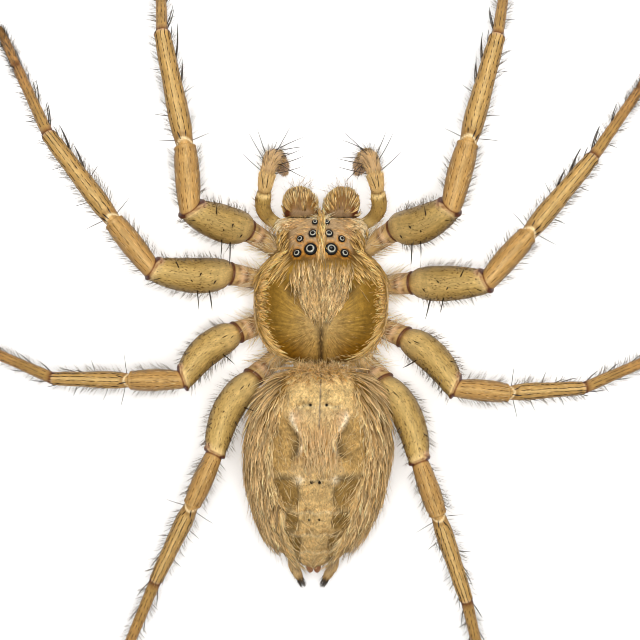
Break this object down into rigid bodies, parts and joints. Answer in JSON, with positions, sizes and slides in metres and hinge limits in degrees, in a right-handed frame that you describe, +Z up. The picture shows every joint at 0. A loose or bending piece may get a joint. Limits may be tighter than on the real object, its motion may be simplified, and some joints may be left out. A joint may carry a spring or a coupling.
{
  "type": "wandering spider",
  "caption": "Still life-size model of a hairy tan wandering spider standing on the floor with its legs spread.",
  "frame": {"origin": "on the floor, under the middle of the bounding box", "axes": "the spider faces -Y, its left side is +X, +Z is up"},
  "size_m": [0.038, 0.0416, 0.0078],
  "materials": {
    "carapace": "olive gold skin with short golden hair",
    "abdomen": "soft tan skin under golden hair",
    "leg": "orange tan skin with grey hair and black spines",
    "chelicera": "brown skin with golden hair, dark fang",
    "spinneret": "tan skin with fine hair",
    "eye": "glossy black lens with a pale ring",
    "skin": "one skin over body and legs, seen under the hair",
    "hair": "golden and grey hair",
    "spine": "black bristle"
  },
  "bodies": {
    "root": {"head": "carapace", "thorax": "carapace", "abdomen": "abdomen", "eye_front_left": "eye", "eye_front_right": "eye", "eye_middle_left": "eye", "eye_middle_right": "eye", "eye_small_side_left": "eye", "eye_small_side_right": "eye", "eye_large_left": "eye", "eye_large_right": "eye", "eye_rear_side_left": "eye", "eye_rear_side_right": "eye", "chelicera_left": "chelicera", "palp_left": "leg", "spinneret_left": "spinneret", "chelicera_right": "chelicera", "palp_right": "leg", "spinneret_right": "spinneret", "leg_left_1_coxa": "leg", "leg_left_1_femur": "leg", "leg_left_1_patella": "leg", "leg_left_1_tibia": "leg", "leg_left_1_foot": "leg", "leg_right_1_coxa": "leg", "leg_right_1_femur": "leg", "leg_right_1_patella": "leg", "leg_right_1_tibia": "leg", "leg_right_1_foot": "leg", "leg_left_2_coxa": "leg", "leg_left_2_femur": "leg", "leg_left_2_patella": "leg", "leg_left_2_tibia": "leg", "leg_left_2_foot": "leg", "leg_right_2_coxa": "leg", "leg_right_2_femur": "leg", "leg_right_2_patella": "leg", "leg_right_2_tibia": "leg", "leg_right_2_foot": "leg", "leg_left_3_coxa": "leg", "leg_left_3_femur": "leg", "leg_left_3_patella": "leg", "leg_left_3_tibia": "leg", "leg_left_3_foot": "leg", "leg_right_3_coxa": "leg", "leg_right_3_femur": "leg", "leg_right_3_patella": "leg", "leg_right_3_tibia": "leg", "leg_right_3_foot": "leg", "leg_left_4_coxa": "leg", "leg_left_4_femur": "leg", "leg_left_4_patella": "leg", "leg_left_4_tibia": "leg", "leg_left_4_foot": "leg", "leg_right_4_coxa": "leg", "leg_right_4_femur": "leg", "leg_right_4_patella": "leg", "leg_right_4_tibia": "leg", "leg_right_4_foot": "leg"}
  },
  "joints": []
}
